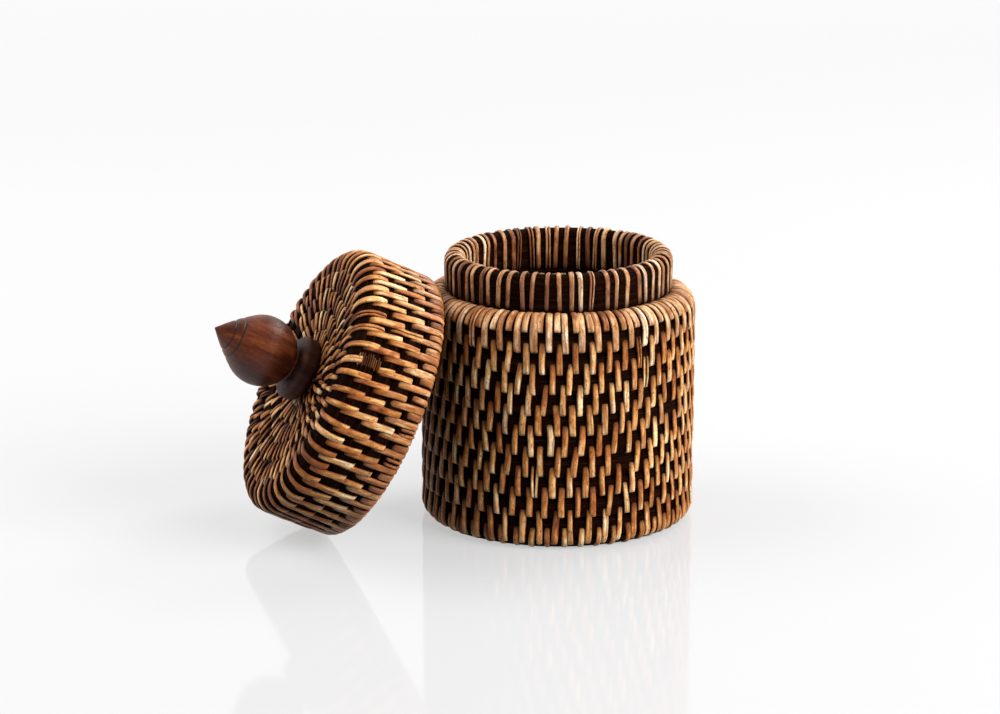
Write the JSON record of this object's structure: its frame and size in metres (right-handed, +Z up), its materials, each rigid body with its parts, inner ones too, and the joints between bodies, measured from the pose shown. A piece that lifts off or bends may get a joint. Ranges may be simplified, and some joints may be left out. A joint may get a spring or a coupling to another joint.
{
  "type": "wicker basket",
  "caption": "Small round coiled rattan basket with a wrapped neck and a loose domed cap lid with a turned wooden knob, shown leaning on its side.",
  "frame": {"origin": "centre of the basket's underside, on the table", "axes": "+Z up along the basket's axis; the lid leans against the basket's -X side, so X runs through both; +Y away from the viewer"},
  "size_m": [0.2126, 0.1204, 0.1219],
  "materials": {
    "cane": "satin split cane, honey to tan",
    "core": "matte dark stained fibre bundle",
    "knob_wood": "satin turned reddish hardwood",
    "collar_wood": "matte turned dark wood",
    "peg_wood": "plain bamboo"
  },
  "bodies": {
    "basket": {"base_coil": "core", "base_binding": "cane", "wall_coil": "core", "wall_binding": "cane", "shoulder_coil": "core", "shoulder_binding": "cane", "neck_hoop": "core", "neck_binding": "cane"},
    "peg": {"knob_peg": "peg_wood"},
    "lid": {"lid_rim_hoop": "core", "lid_rim_binding": "cane", "lid_skirt_coil": "core", "lid_skirt_binding": "cane", "lid_crown_coil": "core", "lid_crown_binding": "cane", "knob": "knob_wood", "knob_collar": "collar_wood"}
  },
  "joints": [
    {"name": "lid_carry", "type": "hinge", "parent": "basket", "child": "peg", "pos_m": [-0.07006, 0, 0.1292], "axis": [0, 1, 0], "range_deg": [0, 241.23]},
    {"name": "lid_level", "type": "hinge", "parent": "peg", "child": "lid", "pos_m": [-0.1045, 0, 0.06648], "axis": [0, 1, 0], "range_deg": [-176.98, 0]}
  ],
  "couplings": [
    {"joint": "lid_level", "follows": "lid_carry", "ratio": -0.73345}
  ]
}
